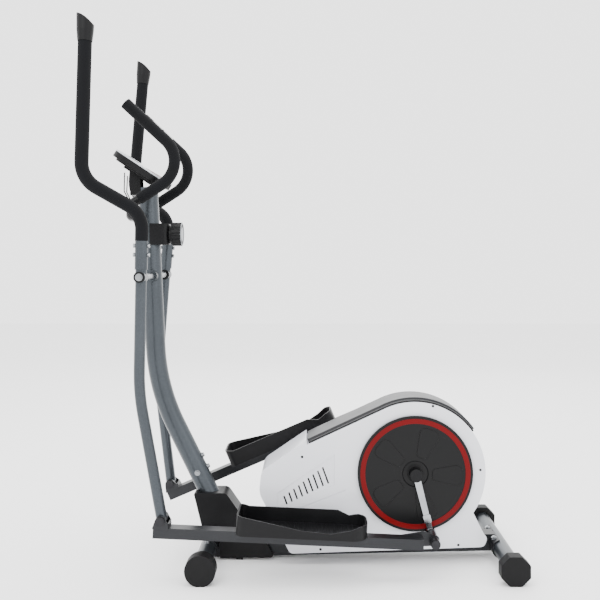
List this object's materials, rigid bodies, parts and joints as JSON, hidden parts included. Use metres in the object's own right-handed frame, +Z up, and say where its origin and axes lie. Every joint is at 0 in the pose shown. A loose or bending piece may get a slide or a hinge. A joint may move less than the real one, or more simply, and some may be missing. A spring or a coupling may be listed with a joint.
{
  "type": "elliptical trainer",
  "caption": "Elliptical trainer with swinging arm handles, pedal arms on a rear crank, a covered magnetic drive, a fixed handlebar and a console.",
  "frame": {"origin": "on the floor, below the centre of the whole object's outline", "axes": "+X to the rear, +Y to the machine's right side, +Z up; the user faces -X"},
  "size_m": [1.2622, 0.6284, 1.5968],
  "materials": {
    "mast_paint": "metallic grey powder coat",
    "base_paint": "dark grey metallic powder coat",
    "bar_paint": "black satin powder coat",
    "bright_steel": "polished chrome plating",
    "zinc": "zinc-plated steel",
    "black_steel": "black oxide",
    "foam": "closed-cell foam",
    "black_plastic": "fine moulded grain",
    "shell_plastic": "gloss white moulded",
    "trim_plastic": "satin dark grey moulded",
    "disc_plastic": "satin black moulded",
    "ring_red": "deep red film",
    "cap_rubber": "moulded rubber",
    "iron": "turned cast iron",
    "belt_rubber": "ribbed belt",
    "console_silver": "silver moulded face",
    "sensor_steel": "stainless sensor plates"
  },
  "bodies": {
    "frame": {"base_frame": "base_paint", "front_stabilizer": "mast_paint", "rear_stabilizer": "mast_paint", "frame_bolts": "zinc", "front_end_caps": "cap_rubber", "mast": "mast_paint", "mast_boot": "black_plastic", "handle_axle": "zinc", "console_bracket": "black_plastic", "console_back": "black_plastic", "console_face": "console_silver", "console_cables": "black_plastic", "fixed_handlebar": "bar_paint", "handlebar_grips": "foam", "pulse_sensors": "sensor_steel", "knob_housing": "black_plastic", "tension_cable": "black_plastic", "shroud_left": "shell_plastic", "shroud_right": "shell_plastic", "shroud_top_trim": "trim_plastic", "shroud_screws": "black_steel", "crank_bearings": "zinc", "drive_belt": "belt_rubber", "flywheel_axle": "zinc"},
    "crank_set": {"crank_axle": "bright_steel", "drive_pulley": "black_plastic", "crank_discs": "disc_plastic", "disc_rings": "ring_red", "crank_left": "bright_steel", "crank_right": "bright_steel"},
    "flywheel": {"flywheel": "iron"},
    "brake": {"brake_arm": "bar_paint", "brake_magnets": "black_steel"},
    "tension_knob": {"tension_knob": "black_plastic"},
    "button_mode": {"button_mode": "console_silver"},
    "button_set": {"button_set": "console_silver"},
    "button_reset": {"button_reset": "console_silver"},
    "button_start": {"button_start": "console_silver"},
    "transport_wheel_left": {"transport_wheel_left": "cap_rubber"},
    "transport_wheel_right": {"transport_wheel_right": "cap_rubber"},
    "level_cap_left": {"level_cap_left": "cap_rubber"},
    "level_cap_right": {"level_cap_right": "cap_rubber"},
    "left_handle": {"left_handle_lower": "mast_paint", "left_handle_upper": "bar_paint", "left_handle_grip": "foam", "left_handle_cap": "black_plastic", "left_handle_bushes": "black_plastic", "left_handle_bolts": "zinc"},
    "left_pedal": {"left_pedal_arm": "base_paint", "left_footplate": "black_plastic", "left_arm_pins": "black_steel"},
    "right_handle": {"right_handle_lower": "mast_paint", "right_handle_upper": "bar_paint", "right_handle_grip": "foam", "right_handle_cap": "black_plastic", "right_handle_bushes": "black_plastic", "right_handle_bolts": "zinc"},
    "right_pedal": {"right_pedal_arm": "base_paint", "right_footplate": "black_plastic", "right_arm_pins": "black_steel"}
  },
  "joints": [
    {"name": "crank_turn", "type": "hinge", "parent": "frame", "child": "crank_set", "pos_m": [0.327, 0, 0.275], "axis": [0, -1, 0], "continuous": true},
    {"name": "flywheel_spin", "type": "hinge", "parent": "frame", "child": "flywheel", "pos_m": [0.037, 0, 0.205], "axis": [0, -1, 0], "continuous": true},
    {"name": "left_handle_swing", "type": "hinge", "parent": "frame", "child": "left_handle", "pos_m": [-0.47, -0.195, 0.864], "axis": [0, -1, 0], "range_deg": [-14.5, 11.3]},
    {"name": "right_handle_swing", "type": "hinge", "parent": "frame", "child": "right_handle", "pos_m": [-0.47, 0.195, 0.864], "axis": [0, -1, 0], "range_deg": [-11.3, 14.5]},
    {"name": "left_pedal_pitch", "type": "hinge", "parent": "left_handle", "child": "left_pedal", "pos_m": [-0.41017, -0.195, 0.17459], "axis": [0, -1, 0], "range_deg": [-9.8, 12.5]},
    {"name": "right_pedal_pitch", "type": "hinge", "parent": "right_handle", "child": "right_pedal", "pos_m": [-0.45068, 0.195, 0.17227], "axis": [0, -1, 0], "range_deg": [-11.6, 9.1]},
    {"name": "tension_turn", "type": "hinge", "parent": "frame", "child": "tension_knob", "pos_m": [-0.423, 0, 0.992], "axis": [1, 0, 0], "range_deg": [0, 300]},
    {"name": "brake_lift", "type": "hinge", "parent": "frame", "child": "brake", "pos_m": [0.1643, -0.017, 0.21838], "axis": [0, 1, 0], "range_deg": [0, 4.1]},
    {"name": "left_wheel_roll", "type": "hinge", "parent": "frame", "child": "transport_wheel_left", "pos_m": [-0.31, -0.235, 0.028], "axis": [0, 1, 0], "continuous": true},
    {"name": "right_wheel_roll", "type": "hinge", "parent": "frame", "child": "transport_wheel_right", "pos_m": [-0.31, 0.235, 0.028], "axis": [0, 1, 0], "continuous": true},
    {"name": "left_level_turn", "type": "hinge", "parent": "frame", "child": "level_cap_left", "pos_m": [0.589, -0.228, 0.043], "axis": [0, 1, 0], "range_deg": [0, 135]},
    {"name": "right_level_turn", "type": "hinge", "parent": "frame", "child": "level_cap_right", "pos_m": [0.589, 0.228, 0.043], "axis": [0, 1, 0], "range_deg": [0, 135]},
    {"name": "mode_press", "type": "slide", "parent": "frame", "child": "button_mode", "axis": [-0.5519, 0, -0.8339], "range_m": [0, 0.0015], "stiffness_N_per_m": 400},
    {"name": "set_press", "type": "slide", "parent": "frame", "child": "button_set", "axis": [-0.5519, 0, -0.8339], "range_m": [0, 0.0015], "stiffness_N_per_m": 400},
    {"name": "reset_press", "type": "slide", "parent": "frame", "child": "button_reset", "axis": [-0.5519, 0, -0.8339], "range_m": [0, 0.0015], "stiffness_N_per_m": 400},
    {"name": "start_press", "type": "slide", "parent": "frame", "child": "button_start", "axis": [-0.5519, 0, -0.8339], "range_m": [0, 0.0015], "stiffness_N_per_m": 400}
  ],
  "couplings": [
    {"joint": "flywheel_spin", "follows": "crank_turn", "ratio": 6.3889},
    {"joint": "right_handle_swing", "follows": "left_handle_swing", "ratio": -1},
    {"joint": "left_pedal_pitch", "follows": "left_handle_swing", "ratio": -0.85},
    {"joint": "right_pedal_pitch", "follows": "left_handle_swing", "ratio": 0.788},
    {"joint": "brake_lift", "follows": "tension_turn", "ratio": 0.01333}
  ]
}
